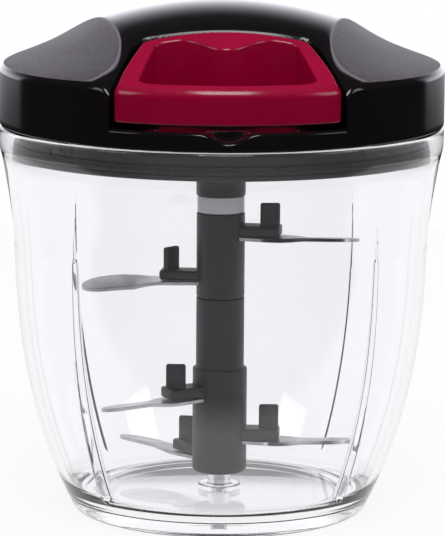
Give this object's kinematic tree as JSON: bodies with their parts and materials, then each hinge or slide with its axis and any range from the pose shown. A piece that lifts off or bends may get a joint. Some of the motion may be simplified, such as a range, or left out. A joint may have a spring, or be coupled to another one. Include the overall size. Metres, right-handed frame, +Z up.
{
  "type": "manual food chopper",
  "caption": "Pull-cord food chopper: clear tapered bowl, domed black lid with a pull handle, and a rotor with sharp steel blades driven by a cord drum.",
  "frame": {"origin": "centre of the bowl's foot ring, on the surface that the chopper stands on", "axes": "+Z up along the bowl's and the rotor's axis, -Y towards the side with the pull handle, +X to the right as seen from the handle's side"},
  "size_m": [0.13, 0.13, 0.1505],
  "materials": {
    "clear": "clear moulded styrene acrylonitrile, polished",
    "gloss_black": "glossy black moulded ABS",
    "satin_black": "satin black moulded polypropylene",
    "red": "glossy burgundy moulded ABS",
    "steel": "stamped and ground stainless steel",
    "spring_steel": "blue-grey rolled spring steel",
    "grey": "light grey moulded acetal",
    "rubber": "black moulded silicone rubber",
    "cord": "white braided nylon"
  },
  "bodies": {
    "bowl": {"bowl": "clear", "pivot_pin": "steel"},
    "blade_unit": {"shaft_lower": "satin_black", "shaft_upper": "satin_black", "blade_1": "steel", "blade_2": "steel", "blade_3": "steel", "blade_4": "steel", "blade_5": "steel"},
    "lid": {"lid_cover": "gloss_black", "lid_base": "satin_black", "lid_seal": "rubber", "cord_eyelet": "grey", "housing_screw_1": "steel", "housing_screw_2": "steel", "housing_screw_3": "steel", "housing_screw_4": "steel", "mainspring": "spring_steel", "spool_screw": "steel", "spool_washer": "steel"},
    "spool": {"cord_spool": "grey", "spring_cover": "steel", "cord_winding": "cord", "pawl_1": "steel", "pawl_2": "steel", "drive_coupler": "grey", "ratchet_wheel": "steel", "clutch_screw": "steel"},
    "pull_handle": {"handle": "red", "cord_lead": "cord", "cord_knot": "cord"}
  },
  "joints": [
    {"name": "lid_lift", "type": "slide", "parent": "bowl", "child": "lid", "axis": [0, 0, 1], "range_m": [0, 0.12]},
    {"name": "handle_pull", "type": "slide", "parent": "lid", "child": "pull_handle", "axis": [0, -1, 0], "range_m": [0, 0.3], "stiffness_N_per_m": 12, "springref_m": -0.1, "deforming": ["cord_lead"]},
    {"name": "spool_spin", "type": "hinge", "parent": "lid", "child": "spool", "pos_m": [0, 0, 0.1236], "axis": [0, 0, 1], "range_deg": [0, 1080]},
    {"name": "blade_spin", "type": "hinge", "parent": "bowl", "child": "blade_unit", "pos_m": [0, 0, 0.0104], "axis": [0, 0, 1], "range_deg": [0, 1080]}
  ],
  "couplings": [
    {"joint": "spool_spin", "follows": "handle_pull", "rad_per_m": 61.728},
    {"joint": "blade_spin", "follows": "handle_pull", "rad_per_m": 61.728}
  ]
}
